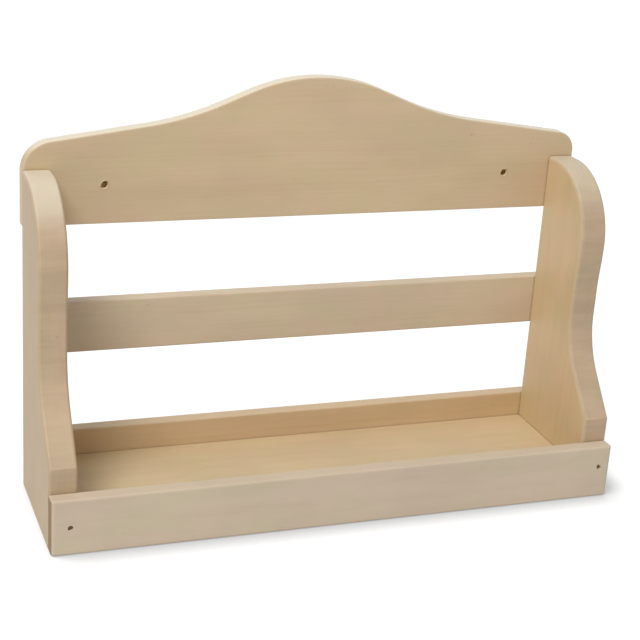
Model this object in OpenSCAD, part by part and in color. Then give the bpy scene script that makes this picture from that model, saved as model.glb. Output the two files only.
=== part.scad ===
// Wall plate rack: two shaped side panels joined by a crest board, two rails, a shelf and a lip.
// X runs along the rack, +Y towards the wall, +Z up. The origin is under the middle of its base.

/* [Side panels] */
// Length of the rack over the outer faces of the side panels
rack_w = 400; // [320:1:520]
// Thickness of a side panel
panel_t = 19; // [14:0.5:24]
// Depth of a side panel at its foot
panel_d = 96; // [90:1:130]
// Height of a side panel
panel_h = 224; // [214:1:240]
// Height of the upright foot at the front of a side panel
foot_h = 56; // [44:1:64]
// Lean of the straight flare above the foot, from upright, in degrees
flare_angle = 40; // [34:1:46]
// Radius of the hollow that leads from the flare to the waist
flare_r = 60; // [40:1:70]
// Depth of a side panel at its waist
waist_d = 59.5; // [56:0.5:64]
// Length of the straight waist above the hollow
waist_l = 19; // [10:1:26]
// Depth of a side panel at its shoulder
shoulder_d = 61.5; // [58:0.5:68]
// Radius of the rounded shoulder
shoulder_r = 50; // [40:1:54]

/* [Crest board] */
// Thickness of the crest board and of both rails
back_t = 10; // [8:0.5:14]
// Height of the lower edge of the crest board above the base
crest_low = 186; // [178:1:192]
// Height that the crest's sloping shoulders would have at its ends
crest_end = 240; // [236:0.5:246]
// Radius of the crown
crown_r = 122; // [90:1:140]
// Slope of the straight stretch beside the crown, in degrees
crown_slope = 22.5; // [20:0.5:28]
// Length of the straight stretch beside the crown
slope_l = 21; // [5:1:30]
// Radius of the hollow beside the crown
hollow_r = 213; // [150:1:230]
// Slope of the crest's shoulders, in degrees
shoulder_slope = 8; // [4:0.5:9]
// Radius of the left corner of the crest
left_corner_r = 21; // [10:1:30]
// Radius of the right corner of the crest
right_corner_r = 14; // [10:1:30]

/* [Hanging holes] */
// Distance between the two wall screws
screw_pitch = 292; // [200:1:300]
// Height of the wall screws above the base
screw_z = 212.5; // [200:0.5:216]
// Diameter of a hole for a wall screw
screw_hole_d = 5; // [4:0.5:8]

/* [Rails] */
// Height of the lower edge of the middle rail above the base
middle_low = 95.5; // [80:0.5:110]
// Width of the middle rail
middle_w = 36.5; // [28:0.5:50]
// Width of the lower rail, which stands on the base line
lower_w = 38; // [34:0.5:50]
// Distance that both rails stop short of the panels' outer faces
rail_inset = 5; // [4:0.5:7]
// Radius on the long edges of the rails
rail_edge_r = 1.5; // [0.5:0.25:3]

/* [Shelf and lip] */
// Thickness of the shelf
shelf_t = 19; // [14:0.5:24]
// Thickness of the front lip
lip_t = 10; // [8:0.5:14]
// Height of the front lip
lip_h = 39; // [30:0.5:52]
// Radius on the front edges of the lip
lip_edge_r = 3; // [1:0.25:4]

/* [Nails and dowels] */
// Diameter of a nail's shank
nail_d = 2; // [1.6:0.1:2.4]
// Diameter of a nail's head
nail_head_d = 3; // [2.6:0.1:3.6]
// Length of a nail
nail_l = 30; // [25:1:32]
// Depth that a nail's head is punched below the wood
nail_sink = 1; // [0.5:0.1:2]
// Distance of the left lip nail from the end of the lip
lip_nail_left_in = 12.5; // [7:0.5:13]
// Height of the left lip nail above the base
lip_nail_left_z = 19.5; // [19:0.5:26]
// Distance of the right lip nail from the end of the lip
lip_nail_right_in = 9; // [7:0.5:13]
// Height of the right lip nail above the base
lip_nail_right_z = 23.5; // [19:0.5:26]
// Distance of the nails in the crest board and rails from the edges of these boards
nail_margin = 9; // [7:0.5:10]
// Number of nails through the lower rail into the shelf
shelf_nail_count = 3; // [2:1:5]
// Diameter of a shelf dowel
dowel_d = 8; // [6:0.5:10]
// Length of a shelf dowel
dowel_l = 30; // [24:1:36]
// Depth that a dowel enters a side panel
dowel_in_panel = 11; // [8:0.5:12]
// Distance between the two dowels at one end of the shelf
dowel_pitch = 40; // [30:1:44]

/* [Hidden] */
// Gap all round a nail or a dowel in its hole
fit_gap = 0.1;
// Extra length by which a cut runs out of the wood
overcut = 1;
// Thickness of a nail's head
nail_head_t = 0.8;
// Length of a nail's point
nail_point_l = 3;
// Diameter at the very tip of a nail
nail_tip_d = 0.3;
// Straight pieces in one arc of an outline
arc_steps = 20;
$fn = 64;

WOOD = [0.80, 0.70, 0.56];
DOWEL_WOOD = [0.86, 0.76, 0.60];
STEEL = [0.42, 0.40, 0.38];

half_w = rack_w / 2;
rack_d = lip_t + panel_d + back_t;
front_y = -rack_d / 2;
panel_front_y = front_y + lip_t;
panel_back_y = panel_front_y + panel_d;
back_y = panel_back_y + back_t;
rail_l = rack_w - 2 * rail_inset;
shelf_l = rack_w - 2 * panel_t;
rail_nail_x = half_w - rail_inset - nail_margin;
crest_nail_x = half_w - panel_t / 2;
shelf_nail_pitch = shelf_l / shelf_nail_count;
dowel_x = half_w - panel_t + dowel_in_panel;

LIP_NAILS = [
    [-half_w + lip_nail_left_in, lip_nail_left_z],
    [half_w - lip_nail_right_in, lip_nail_right_z]
];
CREST_NAILS = [
    for (x = [-crest_nail_x, crest_nail_x])
        for (z = [crest_low + nail_margin, panel_h - nail_margin]) [x, z]
];
MIDDLE_NAILS = rail_nails(middle_low, middle_w);
LOWER_NAILS = rail_nails(0, lower_w);
SHELF_NAILS = [
    for (i = [0 : shelf_nail_count - 1])
        [(i - (shelf_nail_count - 1) / 2) * shelf_nail_pitch, shelf_t / 2]
];
DOWELS = [for (y = [-dowel_pitch / 2, dowel_pitch / 2]) [y, shelf_t / 2]];

// Places of the four nails of a rail, two at each end, as [x, z]
function rail_nails(low, width) = [
    for (x = [-rail_nail_x, rail_nail_x])
        for (z = [low + nail_margin, low + width - nail_margin]) [x, z]
];

// Points along an arc from one angle to another
function arc(centre, radius, from, to) = [
    for (i = [0 : arc_steps])
        let (angle = from + (to - from) * i / arc_steps)
            centre + radius * [cos(angle), sin(angle)]
];

// Points of an easy S-curve from one point to another, upright at both ends
function s_curve(from, to) = [
    for (i = [1 : arc_steps - 1])
        let (share = i / arc_steps, swing = (1 - cos(180 * share)) / 2)
            [from[0] + (to[0] - from[0]) * swing, from[1] + (to[1] - from[1]) * share]
];

// Outline of a side panel as [depth from the back edge, height]
function panel_outline() =
    let (
        hollow_end_d = waist_d + flare_r * (1 - cos(flare_angle)),
        flare_h = (panel_d - hollow_end_d) / tan(flare_angle),
        hollow_z = foot_h + flare_h + flare_r * sin(flare_angle),
        waist_top = [waist_d, hollow_z + waist_l],
        shoulder = [shoulder_d - shoulder_r, panel_h - shoulder_r]
    )
    concat(
        [[0, 0], [panel_d, 0], [panel_d, foot_h]],
        arc([waist_d + flare_r, hollow_z], flare_r, 180 + flare_angle, 180),
        [waist_top],
        s_curve(waist_top, [shoulder_d, shoulder[1]]),
        arc(shoulder, shoulder_r, 0, 90),
        [[0, panel_h]]
    );

// Right half of the crest's outline as [x, z], from the lower corner to the crown
function crest_half(corner_r) =
    let (
        crown_x = crown_r * sin(crown_slope),
        crown_fall = crown_r * (1 - cos(crown_slope)),
        hollow_x = hollow_r * (sin(crown_slope) - sin(shoulder_slope)),
        hollow_fall = hollow_r * (cos(shoulder_slope) - cos(crown_slope)),
        slope_foot_x = crown_x + slope_l * cos(crown_slope),
        shoulder_x = slope_foot_x + hollow_x,
        shoulder_z = crest_end + (half_w - shoulder_x) * tan(shoulder_slope),
        slope_foot = [slope_foot_x, shoulder_z + hollow_fall],
        crest_top = slope_foot[1] + slope_l * sin(crown_slope) + crown_fall,
        hollow_centre = slope_foot + hollow_r * [sin(crown_slope), cos(crown_slope)],
        corner_in = corner_r * (1 - sin(shoulder_slope)),
        corner_z = crest_end + corner_in * tan(shoulder_slope) - corner_r * cos(shoulder_slope)
    )
    concat(
        [[half_w, crest_low]],
        arc([half_w - corner_r, corner_z], corner_r, 0, 90 - shoulder_slope),
        arc(hollow_centre, hollow_r, 270 - shoulder_slope, 270 - crown_slope),
        arc([0, crest_top - crown_r], crown_r, 90 - crown_slope, 90)
    );

// A half outline turned over to the left, in the order that closes the shape
function turned_over(points) = [
    for (i = [len(points) - 1 : -1 : 0]) [-points[i][0], points[i][1]]
];

function crest_outline() = concat(crest_half(right_corner_r), turned_over(crest_half(left_corner_r)));

// Places a shape that is drawn along +Z so that it runs along +Y from the point [x, y, z]
module along_y(place) {
    translate(place) rotate([-90, 0, 0]) children();
}

// A nail driven along +Z from the surface of the wood
module nail(gap = 0, open = 0) {
    translate([0, 0, nail_sink - open])
        cylinder(d = nail_head_d + 2 * gap, h = nail_head_t + open);
    translate([0, 0, nail_sink + nail_head_t])
        cylinder(d = nail_d + 2 * gap, h = nail_l - nail_head_t - nail_point_l);
    translate([0, 0, nail_sink + nail_l - nail_point_l])
        cylinder(d1 = nail_d + 2 * gap, d2 = nail_tip_d + 2 * gap, h = nail_point_l);
}

module nail_hole() {
    nail(gap = fit_gap, open = nail_sink + overcut);
}

// Nails or nail holes driven from the front of the rack
module from_front(places) {
    for (place = places)
        along_y([place[0], front_y, place[1]]) children();
}

// Nails or nail holes driven from the back of the rack
module from_back(places) {
    for (place = places)
        translate([place[0], back_y, place[1]]) rotate([90, 0, 0]) children();
}

// The dowels of one end of the shelf, or their holes with a gap; side is -1 or 1
module end_dowels(side, gap = 0) {
    for (place = DOWELS)
        translate([side * dowel_x, place[0], place[1]])
            rotate([0, -90 * side, 0])
                translate([0, 0, -gap])
                    cylinder(d = dowel_d + 2 * gap, h = dowel_l + 2 * gap);
}

// A rectangle with rounded corners, its lower left corner at the origin
module soft_rectangle(width, height, radius) {
    translate([radius, 0]) square([width - 2 * radius, height]);
    translate([0, radius]) square([width, height - 2 * radius]);
    for (x = [radius, width - radius])
        for (y = [radius, height - radius])
            translate([x, y]) circle(r = radius);
}

// A board along X with rounded long edges, centred on x = 0
module soft_board(length, low, thickness, width, radius) {
    translate([-length / 2, low[0], low[1]])
        rotate([90, 0, 90])
            linear_extrude(height = length)
                soft_rectangle(thickness, width, radius);
}

// A side panel with its outer face at x = side * half_w; side is -1 or 1
module side_panel(side) {
    difference() {
        translate([side < 0 ? -half_w : half_w - panel_t, panel_back_y, 0])
            rotate([90, 0, 90])
                linear_extrude(height = panel_t)
                    mirror([1, 0]) polygon(panel_outline());
        end_dowels(side, fit_gap);
        from_front(LIP_NAILS) nail_hole();
        from_back(CREST_NAILS) nail_hole();
        from_back(MIDDLE_NAILS) nail_hole();
        from_back(LOWER_NAILS) nail_hole();
    }
}

module left_side_panel() {
    color(WOOD) side_panel(-1);
}

module right_side_panel() {
    color(WOOD) side_panel(1);
}

module crest_board() {
    color(WOOD)
        difference() {
            translate([0, back_y, 0])
                rotate([90, 0, 0])
                    linear_extrude(height = back_t) polygon(crest_outline());
            for (x = [-screw_pitch / 2, screw_pitch / 2])
                along_y([x, panel_back_y - overcut, screw_z])
                    cylinder(d = screw_hole_d, h = back_t + 2 * overcut);
            from_back(CREST_NAILS) nail_hole();
        }
}

module middle_rail() {
    color(WOOD)
        difference() {
            soft_board(rail_l, [panel_back_y, middle_low], back_t, middle_w, rail_edge_r);
            from_back(MIDDLE_NAILS) nail_hole();
        }
}

module lower_rail() {
    color(WOOD)
        difference() {
            soft_board(rail_l, [panel_back_y, 0], back_t, lower_w, rail_edge_r);
            from_back(LOWER_NAILS) nail_hole();
            from_back(SHELF_NAILS) nail_hole();
        }
}

module shelf_board() {
    color(WOOD)
        difference() {
            translate([-shelf_l / 2, panel_front_y, 0]) cube([shelf_l, panel_d, shelf_t]);
            end_dowels(-1, fit_gap);
            end_dowels(1, fit_gap);
            from_back(SHELF_NAILS) nail_hole();
        }
}

// The front lip: the rounded section and the rounded plan are cut from the same board
module front_lip() {
    color(WOOD)
        difference() {
            intersection() {
                translate([-half_w, front_y, 0])
                    rotate([90, 0, 90])
                        linear_extrude(height = rack_w)
                            soft_rectangle(lip_t + lip_edge_r, lip_h, lip_edge_r);
                translate([-half_w, front_y, 0])
                    linear_extrude(height = lip_h)
                        soft_rectangle(rack_w, lip_t + lip_edge_r, lip_edge_r);
                translate([-half_w, front_y, 0]) cube([rack_w, lip_t, lip_h]);
            }
            from_front(LIP_NAILS) nail_hole();
        }
}

module lip_nails() {
    color(STEEL) from_front(LIP_NAILS) nail();
}

module crest_nails() {
    color(STEEL) from_back(CREST_NAILS) nail();
}

module middle_rail_nails() {
    color(STEEL) from_back(MIDDLE_NAILS) nail();
}

module lower_rail_nails() {
    color(STEEL) from_back(LOWER_NAILS) nail();
}

module shelf_nails() {
    color(STEEL) from_back(SHELF_NAILS) nail();
}

module shelf_dowels() {
    color(DOWEL_WOOD) {
        end_dowels(-1);
        end_dowels(1);
    }
}

left_side_panel();
right_side_panel();
crest_board();
middle_rail();
lower_rail();
shelf_board();
front_lip();
lip_nails();
crest_nails();
middle_rail_nails();
lower_rail_nails();
shelf_nails();
shelf_dowels();
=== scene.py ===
"""Wall plate rack of bare wood: two shaped side panels, an arched crest board, two rails,
a shelf and a front lip, held together with nails and dowels. Lengths are in metres.
X runs along the rack, +Y towards the wall, +Z up."""

import math

import bmesh
import bpy
from mathutils import Matrix, Vector, noise


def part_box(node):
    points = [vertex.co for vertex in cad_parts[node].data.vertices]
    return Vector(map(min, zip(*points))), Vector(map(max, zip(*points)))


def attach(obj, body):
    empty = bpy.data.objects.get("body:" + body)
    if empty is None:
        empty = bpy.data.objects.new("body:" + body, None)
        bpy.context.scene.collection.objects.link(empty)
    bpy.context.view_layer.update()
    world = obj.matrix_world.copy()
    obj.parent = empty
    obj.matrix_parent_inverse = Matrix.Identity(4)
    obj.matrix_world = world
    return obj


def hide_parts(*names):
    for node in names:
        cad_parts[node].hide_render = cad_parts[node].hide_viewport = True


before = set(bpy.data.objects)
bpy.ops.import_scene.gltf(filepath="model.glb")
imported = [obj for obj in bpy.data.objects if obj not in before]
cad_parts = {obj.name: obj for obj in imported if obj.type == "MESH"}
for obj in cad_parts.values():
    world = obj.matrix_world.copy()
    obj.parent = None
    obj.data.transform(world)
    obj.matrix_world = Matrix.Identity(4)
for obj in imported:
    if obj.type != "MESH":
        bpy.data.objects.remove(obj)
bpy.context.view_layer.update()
bpy.context.scene.view_settings.view_transform = "Standard"

# ---------------------------------------------------------------- camera
# It looks at the rack from the front, from the left and from above, through a lens of
# about 86 mm, and is tipped by a few degrees.
camera_azimuth = math.radians(-21.02)
camera_elevation = math.radians(20.20)
camera_roll = math.radians(3.885)
camera_distance = 1.0887
camera_aim = Vector((0.01175, 0.048, 0.10764))
camera_lens = 85.56
sensor_w = 36.0


def outward(azimuth, elevation):
    """The direction out into the room at an azimuth from straight ahead and an elevation."""
    return Vector((
        math.sin(azimuth) * math.cos(elevation),
        -math.cos(azimuth) * math.cos(elevation),
        math.sin(elevation),
    ))


back_from_rack = outward(camera_azimuth, camera_elevation)
camera_data = bpy.data.cameras.new("camera")
camera_data.lens = camera_lens
camera_data.sensor_width = sensor_w
camera = bpy.data.objects.new("camera", camera_data)
bpy.context.scene.collection.objects.link(camera)
look = (-back_from_rack).to_track_quat("-Z", "Y").to_matrix() @ Matrix.Rotation(camera_roll, 3, "Z")
camera.matrix_world = Matrix.Translation(camera_aim + camera_distance * back_from_rack) @ look.to_4x4()
bpy.context.scene.camera = camera

# ---------------------------------------------------------------- side panels
# Each is sawn from 19 mm board with the grain upright: an upright foot, a flare, a waist and
# a rounded shoulder. Its edges are eased with sandpaper. The back boards and the lip are nailed
# to its edges, and two dowels in its inner face carry the shelf.
BODY = "root"
UPRIGHT, LENGTHWISE = (0, 0, 1), (1, 0, 0)

left_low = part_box("left_side_panel")[0]
right_low, right_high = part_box("right_side_panel")
half_w = right_high.x
panel_t = right_high.x - right_low.x
panel_d = right_high.y - right_low.y
panel_h = right_high.z
panel_back_y = right_high.y
foot_h = 0.056
flare_angle = math.radians(40)
flare_r = 0.060
waist_d = 0.0595
waist_l = 0.019
shoulder_d = 0.0615
shoulder_r = 0.050
panel_front_r = 0.0022
panel_back_r = 0.0008

curve_step, least_steps = math.radians(2.5), 4
waist_steps = 12
square_angle = math.radians(60)
crease_angle = math.radians(35)
straight_on = 0.9999
hair = 1e-6

eased_band = 0.0015
hole_sides = 24
torn_depth = 0.0011
rim_unevenness, rim_lumps, tear_narrowing = 0.07, 900, 4
# dim_depth is the depth at which the painted shade in a bore is full.
dim_depth = 0.004

nail_d, nail_l, nail_sink = 0.002, 0.030, 0.001
nail_point_l, nail_point_taper = 0.003, 5
fit_gap = 0.0001
nail_margin = 0.009
lip_t = 0.010
# Where the two ends of the rack differ, -1 stands for the left and 1 for the right.
lip_nail_places = {-1: (0.0125, 0.0195), 1: (0.009, 0.0235)}
dowel_d, dowel_l, dowel_in_panel, dowel_pitch = 0.008, 0.030, 0.011, 0.040


class Sawn:
    """A board's outline, sawn flat on the bench as a run of straight and round cuts."""

    def __init__(self, u, v):
        self.bm = bmesh.new()
        self.first = self.tip = self.bm.verts.new((u, v, 0))

    def straight(self, u, v):
        """Saws straight on to a point."""
        made = bmesh.ops.extrude_vert_indiv(self.bm, verts=[self.tip])
        self.tip = made["verts"][0]
        self.tip.co = (u, v, 0)

    def round(self, centre, turn):
        """Saws on round a centre, through an angle that is positive to the left."""
        steps = max(least_steps, round(abs(turn) / curve_step))
        made = bmesh.ops.spin(
            self.bm, geom=[self.tip], cent=(*centre, 0), axis=(0, 0, 1), angle=turn, steps=steps
        )
        self.tip = [g for g in made["geom_last"] if isinstance(g, bmesh.types.BMVert)][0]

    def board(self, thickness):
        """Closes the outline and raises it to a board of the given thickness."""
        bmesh.ops.contextual_create(self.bm, geom=[self.first, self.tip])
        face = bmesh.ops.contextual_create(self.bm, geom=self.bm.edges[:])["faces"][0]
        made = bmesh.ops.extrude_face_region(self.bm, geom=[face])
        raised = [g for g in made["geom"] if isinstance(g, bmesh.types.BMVert)]
        bmesh.ops.translate(self.bm, verts=raised, vec=(0, 0, thickness))
        bmesh.ops.recalc_face_normals(self.bm, faces=self.bm.faces[:])
        return self.bm


def arrises(bm, *tests):
    """The sharp edges whose middle passes every test."""
    found = []
    for edge in bm.edges:
        middle = (edge.verts[0].co + edge.verts[1].co) / 2
        if edge.calc_face_angle(0) > square_angle and all(test(middle, edge) for test in tests):
            found.append(edge)
    return found


def ease(bm, edges, radius, segments):
    """Rounds the edges over, and marks the rounded wood, which is painted paler for its wear and as a painted
    highlight.
    """
    made = bmesh.ops.bevel(
        bm, geom=edges, offset=radius, offset_type="OFFSET", segments=segments,
        profile=0.5, affect="EDGES", material=-1, clamp_overlap=False,
    )
    handled = bm.verts.layers.float.get("handled") or bm.verts.layers.float.new("handled")
    for face in made["faces"]:
        if face.is_valid:
            for vert in face.verts:
                vert[handled] = 1


def flat_of(bm, direction):
    """The largest face that looks in a direction."""
    facing = [f for f in bm.faces if f.normal.dot(Vector(direction)) > straight_on]
    return max(facing, key=lambda face: face.calc_area())


def band_round(bm, direction):
    """Frames a flat with a narrow band, in which the wear and the painted highlight of its edges fade."""
    flat = flat_of(bm, direction)
    bmesh.ops.inset_individual(bm, faces=[flat], thickness=eased_band, use_even_offset=True)
    inner = flat_of(bm, direction)
    handled = bm.verts.layers.float["handled"]
    for vert in inner.verts:
        vert[handled] = 0


def ring_of(rim):
    """A rim's vertices with their middle and mean radius."""
    ring = list(dict.fromkeys(vert for edge in rim for vert in edge.verts))
    middle = sum((vert.co for vert in ring), Vector()) / len(ring)
    return ring, middle, sum((vert.co - middle).length for vert in ring) / len(ring)


def fray(rim, up, torn):
    """Makes a rim uneven, and longer towards each (heading in degrees, share) where it is torn."""
    ring, middle, _ = ring_of(rim)
    for vert in ring:
        out = vert.co - middle
        longer = rim_unevenness * noise.noise(vert.co * rim_lumps)
        for heading, tear in torn:
            turn = math.radians(heading)
            towards = Vector((math.cos(turn), 0, 0)) + Vector(up) * math.sin(turn)
            longer += tear * max(0, out.normalized().dot(towards)) ** tear_narrowing
        vert.co = middle + out * (1 + longer)


def rims(bm, direction, places):
    """Opens round holes of (centre, radius) in the flat that looks in a direction. A torn one
    is (centre, radius, direction of up, tears)."""
    crisp = bm.verts.layers.float.get("crisp") or bm.verts.layers.float.new("crisp")
    direction = Vector(direction)
    face = flat_of(bm, direction)
    level = face.verts[0].co.dot(direction)
    turn = Vector((0, 0, 1)).rotation_difference(direction).to_matrix().to_4x4()
    border = list(face.edges)
    found = []
    for centre, radius, *torn in places:
        centre = Vector(centre)
        centre += direction * (level - centre.dot(direction))
        made = bmesh.ops.create_circle(
            bm, cap_ends=False, segments=hole_sides, radius=radius, matrix=Matrix.Translation(centre) @ turn
        )
        found.append(list(dict.fromkeys(edge for vert in made["verts"] for edge in vert.link_edges)))
        for vert in made["verts"]:
            vert[crisp] = 1
        if torn:
            fray(found[-1], *torn)
    bmesh.ops.delete(bm, geom=[face], context="FACES_ONLY")
    holes = [edge for rim in found for edge in rim]
    bmesh.ops.triangle_fill(bm, edges=border + holes, use_beauty=True, normal=direction)
    return found


def drill(bm, rim, direction, steps, far_rim=None):
    """Drills in from a rim through steps of (depth, radius), to a blind end or to a far rim.
    The hole keeps its rim's uneven shape down to torn_depth, and is round below it."""
    direction = Vector(direction)
    bored = bm.verts.layers.float.get("bored") or bm.verts.layers.float.new("bored")
    level = rim[0].verts[0].co.dot(direction)
    for depth, radius in steps:
        made = bmesh.ops.extrude_edge_only(bm, edges=rim)
        raised = [g for g in made["geom"] if isinstance(g, bmesh.types.BMVert)]
        rim = [g for g in made["geom"] if isinstance(g, bmesh.types.BMEdge)]
        rim = [edge for edge in rim if all(vert in raised for vert in edge.verts)]
        ring, middle, present_r = ring_of(rim)
        shift = direction * (level - depth - middle.dot(direction))
        for vert in ring:
            out = vert.co - middle
            vert.co = middle + out * radius / (out.length if depth > torn_depth else present_r) + shift
            # The share of painted shade, warmed like bounced light, grows with the depth in the bore.
            vert[bored] = math.sqrt(min(1, abs(depth) / dim_depth))
    if far_rim:
        bmesh.ops.bridge_loops(bm, edges=rim + far_rim)
    else:
        bmesh.ops.contextual_create(bm, geom=rim)


def nail_bore(surface_depth):
    """Steps of a nail's hole from a board's surface, which lies that deep below the nail's own."""
    shank_r = nail_d / 2 + fit_gap
    straight_end = nail_sink + nail_l - nail_point_l - surface_depth
    point_end = nail_sink + nail_l - surface_depth
    return [(straight_end, shank_r), (point_end, shank_r / nail_point_taper)]


def finished(name, bm, place, material, replaced):
    """Stands a board in its place in the rack and gives it its finish."""
    bmesh.ops.transform(bm, matrix=place, verts=bm.verts[:])
    bmesh.ops.recalc_face_normals(bm, faces=bm.faces[:])
    for face in bm.faces:
        face.smooth = True
    crisp = bm.verts.layers.float["crisp"]
    for edge in bm.edges:
        on_rim = all(vert[crisp] == 1 for vert in edge.verts)
        edge.smooth = edge.calc_face_angle(0) < crease_angle and not on_rim
    mesh = bpy.data.meshes.new(name)
    bm.to_mesh(mesh)
    bm.free()
    piece = bpy.data.objects.new(name, mesh)
    bpy.context.scene.collection.objects.link(piece)
    piece.modifiers.new("even_shading", "WEIGHTED_NORMAL").keep_sharp = True
    piece.data.materials.append(material)
    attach(piece, BODY)
    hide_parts(replaced)
    return piece


class Field:
    """A value or colour that varies over a surface. Sums and products add their Math nodes."""

    def __init__(self, finish, socket):
        self.finish = finish
        self.socket = socket

    def maths(self, operation, first, second):
        return self.finish.node("Math", {"operation": operation}, {0: first, 1: second})

    def __add__(self, other):
        return self.maths("ADD", self, other)

    def __sub__(self, other):
        return self.maths("SUBTRACT", self, other)

    def __rsub__(self, other):
        return self.maths("SUBTRACT", other, self)

    def __mul__(self, other):
        return self.maths("MULTIPLY", self, other)

    def __truediv__(self, other):
        return self.maths("DIVIDE", self, other)

    __radd__ = __add__
    __rmul__ = __mul__


class Finish:
    """The nodes of one material, or of the light from all round."""

    def __init__(self, owner):
        self.owner = owner
        owner.use_nodes = True
        self.tree = owner.node_tree
        self.tree.nodes.clear()

    def node(self, kind, settings=None, sockets=None, out=0):
        """Adds a node with its settings and sockets, and returns one of its outputs. The
        setting stops gives a colour ramp its (place, grey level) pairs."""
        node = self.tree.nodes.new("ShaderNode" + kind)
        for name, value in (settings or {}).items():
            if name == "stops":
                ramp = node.color_ramp
                ramp.elements.remove(ramp.elements[1])
                ramp.elements[0].position = value[0][0]
                for position, _ in value[1:]:
                    ramp.elements.new(position)
                for element, (_, level) in zip(ramp.elements, value):
                    element.color = (level, level, level, 1)
            else:
                setattr(node, name, value)
        for name, value in (sockets or {}).items():
            if isinstance(value, Field):
                self.tree.links.new(value.socket, node.inputs[name])
            else:
                node.inputs[name].default_value = value
        return Field(self, node.outputs[out] if node.outputs else None)

    def noise(self, place, stretch, detail=2.0, rough=0.5, out="Fac"):
        """Noise whose features are stretched by scale factors along each axis."""
        stretched = self.node("VectorMath", {"operation": "MULTIPLY"}, {0: place, 1: stretch})
        return self.node(
            "TexNoise", {}, {"Vector": stretched, "Scale": 1.0, "Detail": detail, "Roughness": rough}, out
        )

    def grey(self, level):
        """A grey of a level that varies over the surface."""
        return self.node("CombineColor", {}, {"Red": level, "Green": level, "Blue": level})

    def facing_along(self, facing, axis):
        """1 where the surface looks along an axis either way, and 0 where it looks across it."""
        along = self.node("VectorMath", {"operation": "DOT_PRODUCT"}, {0: facing, 1: axis}, "Value")
        return self.node("Math", {"operation": "ABSOLUTE"}, {0: along})

    def mix(self, share, first, second, blend="MIX"):
        """Two colours mixed, with this share of the second. Sockets 6 and 7 of the node take
        its colours, and its output 2 gives one."""
        settings = {"data_type": "RGBA", "blend_type": blend}
        return self.node("Mix", settings, {0: share, 6: first, 7: second}, 2)

    def range(self, value, low, high, to_low=0.0, to_high=1.0):
        """Turns low to high into to_low to to_high, softly at both ends."""
        return self.node(
            "MapRange", {"interpolation_type": "SMOOTHSTEP"},
            {"Value": value, "From Min": low, "From Max": high, "To Min": to_low, "To Max": to_high},
        )

    def shade(self, sockets):
        """Ends the tree in a Principled shader with these sockets."""
        shader = self.node("BsdfPrincipled", {}, sockets)
        self.node("OutputMaterial", {}, {"Surface": shader})
        return self.owner


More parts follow.
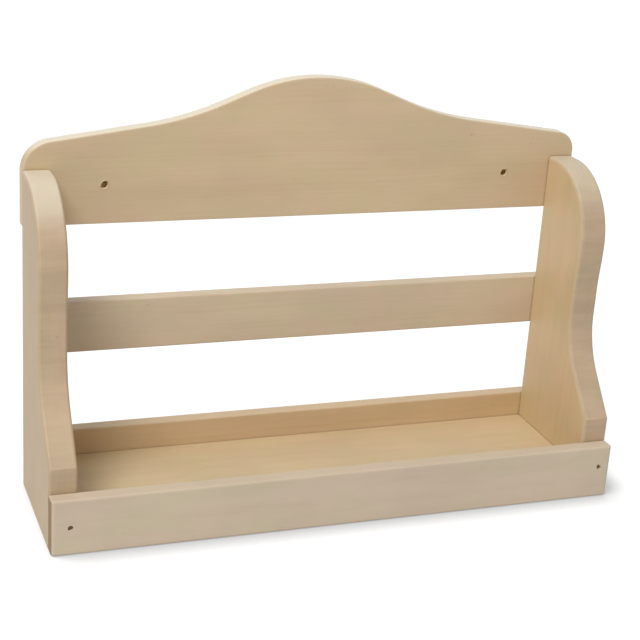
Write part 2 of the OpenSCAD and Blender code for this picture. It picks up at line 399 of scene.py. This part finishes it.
def bare_wood(name, pale, deep, grain, heart, run_out, cut_from, rough_end=0.15, sawn=None, top_sheen=0.0,
              knots=(), gloss=0.5):
    """Planed pale wood, smoothed with sandpaper. heart is where the tree's centre lies from the board
    in mm, run_out how many degrees the grain leans, and cut_from where in the tree it was cut in mm.
    rough_end is how dark the end grain is, sawn the tint of the edges of a board whose planed
    faces look along x, top_sheen how far a painted sheen whitens the faces that look up, which
    reaches steeper faces near the rack's top, and knots are pin knots of (place in mm, radius in mm).
    gloss is how much the bare surface shines. Corners and bores get painted shade, and rounded
    edges a paler colour for their wear and a painted highlight. Noises have their features per mm,
    first along the grain and then across it."""
    wood = Finish(bpy.data.materials.new(name))
    upright = grain == UPRIGHT
    turn = (math.radians(run_out), math.radians(90 if upright else run_out), math.radians(run_out / 2))
    coordinates = wood.node("TexCoord", {}, {}, "Object")
    to_mm = (mm_per_m, mm_per_m, mm_per_m)
    log = wood.node("Mapping", {}, {
        "Vector": coordinates, "Location": cut_from, "Rotation": turn, "Scale": to_mm,
    })
    wander = wood.noise(log, (0.008, 0.03, 0.03), 2, 0.5, "Color")
    sway = (0, grain_sway, grain_sway)
    swayed = wood.node("VectorMath", {"operation": "MULTIPLY_ADD"}, {0: wander, 1: sway, 2: log})
    from_heart = wood.node("VectorMath", {"operation": "SUBTRACT"}, {0: swayed, 1: (0, *heart)})
    across = wood.node("VectorMath", {"operation": "MULTIPLY"}, {0: from_heart, 1: (0, 1, 1)})
    years = wood.node("VectorMath", {"operation": "LENGTH"}, {0: across}, "Value") / ring_pitch
    season = wood.node("Math", {"operation": "FRACT"}, {0: years})
    year = wood.node("Math", {"operation": "FLOOR"}, {0: years})
    late_wood = [(0.0, 0.6), (0.1, 0.0), (0.65, 0.25), (0.93, 1.0), (1.0, 0.6)]
    late = wood.node("ValToRGB", {"stops": late_wood}, {"Fac": season})
    growth = wood.node("TexWhiteNoise", {"noise_dimensions": "1D"}, {"W": year}, "Value")
    line = late * (growth * 0.8 + 0.2)
    fibre = wood.noise(log, (0.02, 1.3, 1.3), 4, 0.65)
    streak = wood.noise(log, (0.004, 0.10, 0.10), 3, 0.5)
    cloud = wood.noise(log, (0.016, 0.030, 0.030), 2, 0.5)
    blush = wood.noise(log, (0.022, 0.050, 0.050), 2, 0.5, "Color")
    pores = wood.range(wood.noise(log, (0.22, 3.2, 3.2), 1, 0.5), 0.60, 0.78)
    patches = wood.range(wood.noise(log, (0.03, 0.05, 0.05), 1, 0.5), 0.48, 0.62)
    speck = wood.range(wood.noise(log, (0.16, 0.42, 0.42), 1, 0.4), 0.74, 0.84) * patches
    facing = wood.node("NewGeometry", {}, {}, "Normal")
    end = wood.range(wood.facing_along(facing, grain), 0.60, 0.97)
    # Painted shade: ambient occlusion darkens the colour in every corner where parts meet.
    corner = wood.node("AmbientOcclusion", {"samples": 5}, {"Distance": corner_reach}, "AO")
    corner_shade = wood.range(corner, 0.25, 0.90, 1.0, 0.0)
    handled = wood.node("Attribute", {"attribute_name": "handled"}, {}, "Fac")
    bored = wood.node("Attribute", {"attribute_name": "bored"}, {}, "Fac")

    depth = line * (end * 0.30 + 0.16) + fibre * 0.44 + streak * 0.52 + pores * 0.14 - 0.30
    colour = wood.mix(wood.range(depth, 0.0, 1.0), (*pale, 1), (*deep, 1))
    tone = wood.grey(wood.range(cloud, 0.30, 0.70, 0.965, 1.035))
    colour = wood.mix(1.0, colour, tone, "MULTIPLY")
    hue = wood.range(wood.node("SeparateColor", {}, {"Color": blush}, "Red"), 0.35, 0.65)
    colour = wood.mix(1.0, colour, wood.mix(hue, rosy_tint, straw_tint), "MULTIPLY")
    colour = wood.mix(speck * fleck_share, colour, (*fleck_brown, 1))
    for place, radius in knots:
        middle = wood.node("VectorMath", {"operation": "SCALE"}, {0: coordinates, "Scale": mm_per_m})
        distance = wood.node("VectorMath", {"operation": "DISTANCE"}, {0: middle, 1: place}, "Value")
        knot = wood.range(distance + fibre * 1.2, radius * 0.5, radius * 1.6, 1.0, 0.0)
        colour = wood.mix(knot * knot_share, colour, (*fleck_brown, 1))
    colour = wood.mix(end * rough_end, colour, (*end_brown, 1))
    # Rounded edges are paler: their wear, and a painted highlight.
    colour = wood.mix(handled * wear_and_highlight_share, colour, (*wear_and_highlight_pale, 1))
    rough = fibre * 0.14 + end * (0.5 * rough_end + 0.05) + pores * 0.06 + bored * 0.1 - handled * 0.05 + 0.42
    height = fibre * 0.5 + line * 0.15 - pores * 0.6 - speck * 0.4
    if sawn:
        cut = wood.range(wood.facing_along(facing, (1, 0, 0)), 0.70, 0.97, 1.0, 0.0)
        teeth = wood.noise(log, (0.9, 0.9, 0.04), 2, 0.6)
        stroke = wood.range(wood.noise(log, (0.14, 0.02, 0.02), 3, 0.6), 0.35, 0.65, 0.95, 1.04)
        colour = wood.mix(cut, colour, (*sawn, 1), "MULTIPLY")
        colour = wood.mix(cut, colour, wood.grey(stroke), "MULTIPLY")
        rough = rough + cut * 0.06
        height = height + teeth * cut * 0.5
    # Painted sheen: faces that look up are whitened, and near the rack's top steeper ones too, outside the
    # bores.
    if top_sheen:
        up = wood.node("SeparateXYZ", {}, {"Vector": facing}, "Z")
        high = wood.range(wood.node("SeparateXYZ", {}, {"Vector": coordinates}, "Z"), *top_fade)
        sheen_mask = wood.range(up, sheen_from - high * sheen_lower, sheen_to + high * sheen_softer)
        outside = wood.range(bored, 0.0, 0.15, 1.0, 0.0)
        colour = wood.mix(sheen_mask * outside * top_sheen, colour, (*sheen_white, 1))
    # Painted shade, warmed like bounced light, deepens into the bores.
    colour = wood.mix(bored * bore_shade_share, colour, (*bore_shade_brown, 1))
    # Painted corner shade, kept out of the bores.
    colour = wood.mix(corner_shade * (1 - bored) * corner_shade_share, colour, (*corner_shade_brown, 1))
    bump = wood.node("Bump", {}, {"Strength": bump_share, "Distance": grain_relief, "Height": height})
    return wood.shade({
        "Base Color": colour, "Roughness": rough, "Normal": bump, "Specular IOR Level": gloss,
        "Sheen Weight": gloss / 5, "Sheen Roughness": 0.4,
    })


mm_per_m = 1000
ring_pitch, grain_sway = 3.6, 14
grain_relief, bump_share = 0.00012, 0.35
corner_reach = 0.0020
# Where the painted sheen on faces that look up begins and ends, and how it reaches steeper faces near the
# top.
top_fade = (0.10, 0.15)
sheen_from, sheen_to = 0.62, 0.95
sheen_lower, sheen_softer = 0.22, 0.05
fleck_share, knot_share, wear_and_highlight_share = 0.35, 0.45, 0.15
bore_shade_share, corner_shade_share = 0.85, 0.42
fleck_brown = (0.24, 0.15, 0.08)
bore_shade_brown = (0.64, 0.42, 0.16)
corner_shade_brown = (0.25, 0.15, 0.075)
end_brown = (0.24, 0.14, 0.05)
wear_and_highlight_pale = (0.68, 0.55, 0.40)
rosy_tint, straw_tint = (1.015, 0.985, 0.985, 1), (0.985, 1.005, 0.955, 1)
sheen_white = (0.88, 0.805, 0.64)
# The left panel's colours are darker than the right's: painted shade on its outer face, which looks towards
# the lamp. Its sawn tint lifts its edges back to about the right panel's edge tone, and its stronger top
# sheen is painted too.
sawn_tints = {-1: (1.088, 1.10, 1.26), 1: (0.815, 0.80, 0.87)}
panel_pales = {-1: (0.475, 0.337, 0.179), 1: (0.66, 0.494, 0.287)}
panel_deeps = {-1: (0.395, 0.259, 0.119), 1: (0.55, 0.38, 0.19)}
panel_top_sheen = {-1: 0.55, 1: 0.36}
pin_knots = {-1: [((-188.0, -11.5, 131.0), 1.3), ((-192.4, -11.5, 144.8), 0.8)], 1: []}


def panel_outline():
    """The outline of a side panel as (depth from its back edge, height)."""
    hollow_end_d = waist_d + flare_r * (1 - math.cos(flare_angle))
    flare_h = (panel_d - hollow_end_d) / math.tan(flare_angle)
    hollow_z = foot_h + flare_h + flare_r * math.sin(flare_angle)
    waist_top = hollow_z + waist_l
    shoulder_z = panel_h - shoulder_r
    outline = Sawn(0, 0)
    outline.straight(panel_d, 0)
    outline.straight(panel_d, foot_h)
    outline.straight(hollow_end_d, foot_h + flare_h)
    outline.round((waist_d + flare_r, hollow_z), -flare_angle)
    outline.straight(waist_d, waist_top)
    for step in range(1, waist_steps + 1):
        share = step / waist_steps
        swing = (1 - math.cos(math.pi * share)) / 2
        depth = waist_d + (shoulder_d - waist_d) * swing
        outline.straight(depth, waist_top + (shoulder_z - waist_top) * share)
    outline.round((shoulder_d - shoulder_r, shoulder_z), math.pi / 2)
    outline.straight(0, panel_h)
    return outline


def side_panel(name, side, low):
    """A side panel, on the bench with its depth along u, its height along v and its inner face
    down on the left panel and up on the right one."""
    bm = panel_outline().board(panel_t)
    upper_edges = arrises(bm, lambda middle, edge: middle.x > hair and middle.y > hair
                          and abs(edge.verts[0].co.z - edge.verts[1].co.z) < hair)
    ease(bm, upper_edges, panel_front_r, segments=5)
    back_and_foot = arrises(bm, lambda middle, edge: middle.x < hair or middle.y < hair)
    ease(bm, back_and_foot, panel_back_r, segments=2)
    for facing in ((0, 0, -1), (0, 0, 1)):
        band_round(bm, facing)

    inner = (0, 0, side)
    shank_r = nail_d / 2 + fit_gap
    dowel_r = dowel_d / 2 + fit_gap
    middle_d = panel_d / 2
    dowel_v = shelf_t / 2
    pegs = [((middle_d + swing * dowel_pitch / 2, dowel_v, 0), dowel_r) for swing in (-1, 1)]
    for rim in rims(bm, inner, pegs):
        drill(bm, rim, inner, [(dowel_in_panel + fit_gap, dowel_r)])

    def from_outside(distance):
        return distance if side > 0 else panel_t - distance

    nail_in, nail_z = lip_nail_places[side]
    for rim in rims(bm, (1, 0, 0), [((0, nail_z, from_outside(nail_in)), shank_r)]):
        drill(bm, rim, (1, 0, 0), nail_bore(lip_t))
    back_nails = [(from_outside(panel_t / 2), z) for z in crest_nail_heights]
    back_nails += [(from_outside(rail_inset + nail_margin), z) for z in rail_nail_heights]
    places = [((0, z, w), shank_r) for w, z in back_nails]
    for rim in rims(bm, (-1, 0, 0), places):
        drill(bm, rim, (-1, 0, 0), nail_bore(back_t))

    right_face_x = low.x + panel_t
    place = Matrix((
        (0, 0, -1, right_face_x),
        (-1, 0, 0, panel_back_y),
        (0, 1, 0, 0),
        (0, 0, 0, 1),
    ))
    wood = bare_wood(
        name + "_wood", panel_pales[side], panel_deeps[side], UPRIGHT,
        heart=(38.0 * side, -46.0), run_out=0.8 * side, cut_from=(40.0 * side, 7.0, 3.0),
        rough_end=0.0, sawn=sawn_tints[side], top_sheen=panel_top_sheen[side], knots=pin_knots[side],
    )
    finished(name, bm, place, wood, name.removesuffix("_sawn"))


shelf_low, shelf_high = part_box("shelf_board")
crest_low, crest_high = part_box("crest_board")
middle_low, middle_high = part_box("middle_rail")
lower_low, lower_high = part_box("lower_rail")
shelf_t = shelf_high.z - shelf_low.z
back_t = crest_high.y - crest_low.y
rail_inset = half_w - lower_high.x
crest_nail_heights = [crest_low.z + nail_margin, panel_h - nail_margin]
middle_nail_heights = [middle_low.z + nail_margin, middle_high.z - nail_margin]
lower_nail_heights = [lower_low.z + nail_margin, lower_high.z - nail_margin]
rail_nail_heights = middle_nail_heights + lower_nail_heights
side_panel("left_side_panel_sawn", -1, left_low)
side_panel("right_side_panel_sawn", 1, right_low)

# ---------------------------------------------------------------- crest board
# The arched top board, sawn from 10 mm board with the grain along the rack. Its upper front
# edge is routed round, and two holes for wall screws go through it, with torn fibres at
# their rims. Four nails from the back hold it to the side panels.
crown_r = 0.122
crown_slope = math.radians(22.5)
slope_l = 0.021
hollow_r = 0.213
shoulder_slope = math.radians(8)
crest_end = 0.240
corner_rs = {-1: 0.021, 1: 0.014}
crest_front_r = 0.0012
crest_small_r = 0.0006
screw_x = 0.146
screw_z = 0.2125
screw_hole_r = 0.0025
nail_head_d, nail_head_t = 0.003, 0.0008
burr, burr_h = 0.00035, 0.00012
throat_r = 0.0020
tears = {-1: [(52, 0.36), (232, 0.30)], 1: [(40, 0.30), (215, 0.34), (120, 0.22)]}
flap_fibres, flap_spacing, flap_w = 7, 0.0004, 0.0008
flap_flatness, flap_overreach = 0.4, 0.8
flap_levels = {-1: (0.0003, 0.0054), 1: (0.0003,)}
# The loose fibres in a screw hole carry most of the bores' painted shade.
fibre_bored = 0.75
crest_pale, crest_deep = (0.66, 0.505, 0.32), (0.555, 0.395, 0.225)


def torn_fibre(bm, root, tip, width):
    """A fibre torn loose from the board, flattened, and thinner towards its tip."""
    along = tip - root
    made = bmesh.ops.create_cone(
        bm, cap_ends=True, segments=6, radius1=width / 2, radius2=width / 4, depth=along.length
    )
    turn = Vector((0, 0, 1)).rotation_difference(along).to_matrix().to_4x4()
    flat = Matrix.Diagonal((flap_flatness, 1, 1, 1))
    bmesh.ops.transform(bm, verts=made["verts"], matrix=Matrix.Translation((root + tip) / 2) @ turn @ flat)
    bored = bm.verts.layers.float["bored"]
    for vert in made["verts"]:
        vert[bored] = fibre_bored


def flap(bm, x, level):
    """The fibres that still cross the lower half of a screw hole at a level above its back."""
    for step in range(flap_fibres):
        drop = flap_spacing * step + flap_spacing / 4
        reach = math.sqrt(max(0, screw_hole_r ** 2 - drop ** 2))
        root = Vector((x + reach + flap_spacing, screw_z - drop, level))
        tip = root + Vector((-reach - screw_hole_r * flap_overreach, flap_spacing / 4, burr))
        torn_fibre(bm, root, tip, flap_w)


crown_x = crown_r * math.sin(crown_slope)
crown_fall = crown_r * (1 - math.cos(crown_slope))
hollow_x = hollow_r * (math.sin(crown_slope) - math.sin(shoulder_slope))
hollow_fall = hollow_r * (math.cos(shoulder_slope) - math.cos(crown_slope))
slope_foot_x = crown_x + slope_l * math.cos(crown_slope)
shoulder_x = slope_foot_x + hollow_x
shoulder_z = crest_end + (half_w - shoulder_x) * math.tan(shoulder_slope)
slope_foot_z = shoulder_z + hollow_fall
slope_top_z = slope_foot_z + slope_l * math.sin(crown_slope)
crest_top = slope_top_z + crown_fall
hollow_centre_x = slope_foot_x + hollow_r * math.sin(crown_slope)
hollow_centre_z = slope_foot_z + hollow_r * math.cos(crown_slope)


def corner_of(radius):
    """Centre of a rounded upper corner of the crest, as (distance from the end, height)."""
    corner_in = radius * (1 - math.sin(shoulder_slope))
    return radius, crest_end + corner_in * math.tan(shoulder_slope) - radius * math.cos(shoulder_slope)


right_in, right_z = corner_of(corner_rs[1])
left_in, left_z = corner_of(corner_rs[-1])
outline = Sawn(half_w, crest_low.z)
outline.straight(half_w, right_z)
outline.round((half_w - right_in, right_z), math.pi / 2 - shoulder_slope)
outline.straight(shoulder_x, shoulder_z)
outline.round((hollow_centre_x, hollow_centre_z), shoulder_slope - crown_slope)
outline.straight(crown_x, slope_top_z)
outline.round((0, crest_top - crown_r), 2 * crown_slope)
outline.straight(-slope_foot_x, slope_foot_z)
outline.round((-hollow_centre_x, hollow_centre_z), shoulder_slope - crown_slope)
left_corner_x = -half_w + left_in - left_in * math.sin(shoulder_slope)
outline.straight(left_corner_x, left_z + left_in * math.cos(shoulder_slope))
outline.round((-half_w + left_in, left_z), math.pi / 2 - shoulder_slope)
outline.straight(-half_w, crest_low.z)
bm = outline.board(back_t)
front, back = (0, 0, 1), (0, 0, -1)
front_arch = arrises(bm, lambda middle, edge: middle.z > back_t - hair and middle.y > crest_low.z + hair)
ease(bm, front_arch, crest_front_r, segments=6)
back_and_foot = arrises(bm, lambda middle, edge: middle.z < hair or middle.y < crest_low.z + hair)
ease(bm, back_and_foot, crest_small_r, segments=2)
for facing in (front, back):
    band_round(bm, facing)

shank_r = nail_d / 2 + fit_gap
head_r = nail_head_d / 2 + fit_gap
head_seat = nail_sink + nail_head_t
nail_xs = [side * (half_w - panel_t / 2) for side in (-1, 1)]
crest_nails = [(x, z, 0) for x in nail_xs for z in crest_nail_heights]
screws = [(side * screw_x, screw_z, 0) for side in tears]
mouth_r = screw_hole_r + 2 * burr
mouths = [(place, mouth_r, (0, 1, 0), lobes) for place, lobes in zip(screws, tears.values())]
front_rims = rims(bm, front, mouths + [(place, shank_r) for place in crest_nails])
heads = [(place, head_r) for place in crest_nails]
back_rims = rims(bm, back, [(place, screw_hole_r) for place in screws] + heads)
bore = [(-burr_h, screw_hole_r + burr), (torn_depth, throat_r), (2 * torn_depth, screw_hole_r)]
bore.append((dim_depth, screw_hole_r))
for front_rim, back_rim in zip(front_rims[:2], back_rims[:2]):
    drill(bm, front_rim, front, bore, back_rim)
for front_rim, back_rim in zip(front_rims[2:], back_rims[2:]):
    drill(bm, back_rim, back, [(head_seat, head_r), (head_seat, shank_r)], front_rim)
for side, levels in flap_levels.items():
    for level in levels:
        flap(bm, side * screw_x, level)
on_the_back = Matrix(((1, 0, 0, 0), (0, 0, -1, crest_high.y), (0, 1, 0, 0), (0, 0, 0, 1)))
wood = bare_wood(
    "crest_wood", crest_pale, crest_deep, LENGTHWISE,
    heart=(52.0, 250.0), run_out=0.7, cut_from=(90.0, 0.0, 0.0), rough_end=0.10, top_sheen=0.75,
)
finished("crest_board_sawn", bm, on_the_back, wood, "crest_board")

# ---------------------------------------------------------------- rails
# Two straight rails, sawn from the same 10 mm board, with their long edges lightly rounded, and
# nailed to the side panels from the back. The middle rail keeps the plates upright. The lower
# one closes the back of the shelf, and is nailed to it too.
rail_r = 0.0010
rail_small_r = 0.0004
shelf_nail_count = 3
middle_pale, middle_deep = (0.665, 0.535, 0.38), (0.555, 0.415, 0.275)
lower_pale, lower_deep = (0.68, 0.495, 0.300), (0.54, 0.342, 0.175)

shelf_pitch = (shelf_high.x - shelf_low.x) / shelf_nail_count
shelf_nail_xs = [(index - (shelf_nail_count - 1) / 2) * shelf_pitch for index in range(shelf_nail_count)]
rail_nail_x = half_w - rail_inset - nail_margin
towards_wall, into_room = (0, 1, 0), (0, -1, 0)


def squared_board(low, high):
    """A planed board between two corners."""
    bm = bmesh.new()
    size = high - low
    place = Matrix.Translation((low + high) / 2) @ Matrix.Diagonal((*size, 1))
    bmesh.ops.create_cube(bm, size=1, matrix=place)
    return bm


def rail(name, node, heights, extra, wood):
    """A rail, with holes for nails at both ends at these heights, and for extra nails along it."""
    low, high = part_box(node)
    bm = squared_board(low, high)
    ease(bm, arrises(bm, lambda middle, edge: abs(middle.x) < hair), rail_r, segments=4)
    ease(bm, arrises(bm, lambda middle, edge: abs(middle.x) > high.x - hair), rail_small_r, segments=1)
    for facing in (towards_wall, into_room):
        band_round(bm, facing)
    places = [(x, 0, z) for x in (-rail_nail_x, rail_nail_x) for z in heights] + extra
    front_rims = rims(bm, into_room, [(place, shank_r) for place in places])
    back_rims = rims(bm, towards_wall, [(place, head_r) for place in places])
    for front_rim, back_rim in zip(front_rims, back_rims):
        drill(bm, back_rim, towards_wall, [(head_seat, head_r), (head_seat, shank_r)], front_rim)
    finished(name, bm, Matrix.Identity(4), wood, node)


middle_wood = bare_wood(
    "middle_rail_wood", middle_pale, middle_deep, LENGTHWISE,
    heart=(60.0, 150.0), run_out=-0.6, cut_from=(90.0, 4.0, 9.0),
)
lower_wood = bare_wood(
    "lower_rail_wood", lower_pale, lower_deep, LENGTHWISE,
    heart=(-8.0, -22.0), run_out=0.5, cut_from=(300.0, 12.0, 2.0),
)
into_shelf = [(x, 0, shelf_t / 2) for x in shelf_nail_xs]
rail("middle_rail_sawn", "middle_rail", middle_nail_heights, [], middle_wood)
rail("lower_rail_sawn", "lower_rail", lower_nail_heights, into_shelf, lower_wood)

# ---------------------------------------------------------------- shelf
# A 19 mm board between the side panels, on which the plates stand. Two dowels at each end
# hold it to the panels, and three nails through the lower rail hold its back edge.
shelf_small_r = 0.0004
shelf_pale, shelf_deep = (0.66, 0.51, 0.31), (0.55, 0.395, 0.213)
bm = squared_board(shelf_low, shelf_high)
ease(bm, arrises(bm), shelf_small_r, segments=2)
for facing in ((0, 0, 1), (0, 0, -1)):
    band_round(bm, facing)
for side in (-1, 1):
    pegs = [((0, swing * dowel_pitch / 2, shelf_t / 2), dowel_d / 2 + fit_gap) for swing in (-1, 1)]
    for rim in rims(bm, (side, 0, 0), pegs):
        drill(bm, rim, (side, 0, 0), [(dowel_l - dowel_in_panel + fit_gap, dowel_d / 2 + fit_gap)])
for rim in rims(bm, towards_wall, [((x, 0, shelf_t / 2), shank_r) for x in shelf_nail_xs]):
    drill(bm, rim, towards_wall, nail_bore(back_t))
wood = bare_wood(
    "shelf_wood", shelf_pale, shelf_deep, LENGTHWISE,
    heart=(20.0, 85.0), run_out=0.9, cut_from=(60.0, 0.0, 20.0),
)
finished("shelf_board_sawn", bm, Matrix.Identity(4), wood, "shelf_board")

# ---------------------------------------------------------------- front lip
# A 10 mm board nailed across the front of the side panels, which keeps the plates on the
# shelf. Its front edges are rounded all round, and a nail is punched below its face at each end.
lip_low, lip_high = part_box("front_lip")
lip_end_r = 0.0026
lip_front_r = 0.0016
lip_small_r = 0.0006
lip_tears = {-1: [(228, 0.42)], 1: [(-45, 1.2), (-95, 0.6), (120, 0.25)]}
lip_pale, lip_deep = (0.66, 0.545, 0.42), (0.56, 0.44, 0.31)
bm = squared_board(lip_low, lip_high)
front_ends = arrises(
    bm, lambda middle, edge: middle.y < lip_low.y + hair and abs(middle.x) > lip_high.x - hair
)
ease(bm, front_ends, lip_end_r, segments=5)
ease(bm, arrises(bm, lambda middle, edge: middle.y < lip_high.y - hair), lip_front_r, segments=4)
ease(bm, arrises(bm), lip_small_r, segments=2)
for facing in (towards_wall, into_room):
    band_round(bm, facing)
lip_nails = [(side * (half_w - inset), 0, height) for side, (inset, height) in lip_nail_places.items()]
mouths = [(place, head_r, (0, 0, 1), lobes) for place, lobes in zip(lip_nails, lip_tears.values())]
front_rims = rims(bm, into_room, mouths)
back_rims = rims(bm, towards_wall, [(place, shank_r) for place in lip_nails])
sunk = [(nail_sink / 2, head_r), (head_seat, head_r), (head_seat, shank_r)]
for front_rim, back_rim in zip(front_rims, back_rims):
    drill(bm, front_rim, into_room, sunk, back_rim)
wood = bare_wood(
    "lip_wood", lip_pale, lip_deep, LENGTHWISE,
    heart=(45.0, 60.0), run_out=-0.5, cut_from=(420.0, 8.0, 1.0), rough_end=0.9, gloss=0.2,
)
finished("front_lip_sawn", bm, Matrix.Identity(4), wood, "front_lip")

# ---------------------------------------------------------------- nails and dowels
# Dark steel panel pins hold the crest board, the rails and the lip, and turned dowels of
# a paler wood carry the shelf. They stand as they are in the frame, with their own finishes.
dowel_pale, dowel_deep = (0.72, 0.60, 0.43), (0.62, 0.48, 0.31)
steel_bright, steel_dark = (0.18, 0.130, 0.080, 1), (0.11, 0.070, 0.040, 1)

steel = Finish(bpy.data.materials.new("pin_steel"))
spot = steel.node("TexCoord", {}, {}, "Object")
tarnish = steel.noise(spot, (900, 900, 900), 3, 0.6)
drawn = steel.noise(spot, (4000, 400, 4000), 2, 0.5)
steel_colour = steel.mix(steel.range(tarnish, 0.4, 0.7), steel_bright, steel_dark)
steel_bump = steel.node("Bump", {}, {"Strength": 0.2, "Distance": 0.00005, "Height": drawn})
pin_steel = steel.shade({
    "Base Color": steel_colour, "Metallic": 0.4, "Roughness": tarnish * 0.3 + drawn * 0.1 + 0.50,
    "Normal": steel_bump,
})
dowel_wood = bare_wood(
    "dowel_wood", dowel_pale, dowel_deep, LENGTHWISE,
    heart=(9.0, 14.0), run_out=0.0, cut_from=(60.0, 0.0, 0.0),
)
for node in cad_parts.values():
    if node.name.endswith(("_nails", "_dowels")):
        for slot in node.material_slots:
            slot.material = dowel_wood if node.name.endswith("_dowels") else pin_steel

# ---------------------------------------------------------------- floor and light
# A plain white floor that keeps the rack's shadow, with a painted contact shadow round the rack's foot,
# a soft lamp from the upper left, and even light from all round.
floor_size, floor_drop = 12.0, 0.0002
floor_white = 0.80
floor_glow = 0.87
shadow_depth = 0.30
# How far the painted contact shadow reaches, how dark it gets, and how its normal leans.
contact_reach = 0.030
contact_from, contact_to = 0.40, 0.98
contact_dark = 0.48
shade_lean = (-0.5, 0.0, 0.87)
key_azimuth = math.radians(-48)
key_elevation = math.radians(54)
key_distance = 3.0
key_w = 1.3
key_power = 54.0
fill_strength = 0.42


def seen_direct(finish):
    """1 for rays that come from the camera, a mirror or glass, and 0 for those that light."""
    camera_ray, mirror_ray, glass_ray = [
        finish.node("LightPath", {}, {}, f"Is {kind} Ray") for kind in ("Camera", "Glossy", "Transmission")
    ]
    return finish.node("Math", {"operation": "MINIMUM"}, {0: camera_ray + mirror_ray + glass_ray, 1: 1.0})


bm = bmesh.new()
bmesh.ops.create_grid(bm, x_segments=1, y_segments=1, size=floor_size / 2)
bmesh.ops.translate(bm, verts=bm.verts[:], vec=(0, 0, -floor_drop))
floor_mesh = bpy.data.meshes.new("floor")
bm.to_mesh(floor_mesh)
bm.free()
floor = bpy.data.objects.new("floor", floor_mesh)
bpy.context.scene.collection.objects.link(floor)
paint = Finish(bpy.data.materials.new("floor_white"))
lit = paint.node("BsdfDiffuse", {}, {"Color": (floor_white, floor_white, floor_white, 1)})
# Painted contact shadow: ambient occlusion, with its normal leaned towards the lamp, darkens the floor's glow
# and shown colour near the rack on the side away from it.
from_lamp = paint.node("CombineXYZ", {}, dict(zip("XYZ", shade_lean)))
contact = paint.node(
    "AmbientOcclusion", {"samples": 8}, {"Distance": contact_reach, "Normal": from_lamp}, "AO"
)
shade = paint.grey(paint.range(contact, contact_from, contact_to, contact_dark, 1.0))
shadow_grey = (shadow_depth, shadow_depth, shadow_depth, 1)
dim = paint.node("BsdfDiffuse", {}, {"Color": paint.mix(1.0, shade, shadow_grey, "MULTIPLY")})
glow = paint.node("Emission", {}, {"Color": shade, "Strength": floor_glow})
shown = paint.node("AddShader", {}, {0: dim, 1: glow})
floor_shader = paint.node("MixShader", {}, {0: seen_direct(paint), 1: lit, 2: shown})
paint.node("OutputMaterial", {}, {"Surface": floor_shader})
floor_mesh.materials.append(paint.owner)

key_data = bpy.data.lights.new("key_lamp", "AREA")
key_data.shape = "DISK"
key_data.size = key_w
key_data.energy = key_power
key = bpy.data.objects.new("key_lamp", key_data)
bpy.context.scene.collection.objects.link(key)
key_side = outward(key_azimuth, key_elevation)
key.location = camera_aim + key_side * key_distance
key.rotation_euler = key_side.to_track_quat("Z", "Y").to_euler()

world = bpy.data.worlds.new("even_light")
bpy.context.scene.world = world
sky = Finish(world)
around = sky.node("Background", {}, {"Color": (1, 1, 1, 1), "Strength": fill_strength})
white = sky.node("Background", {}, {"Color": (1, 1, 1, 1), "Strength": 1.0})
sky_shader = sky.node("MixShader", {}, {0: seen_direct(sky), 1: around, 2: white})
sky.node("OutputWorld", {}, {"Surface": sky_shader})
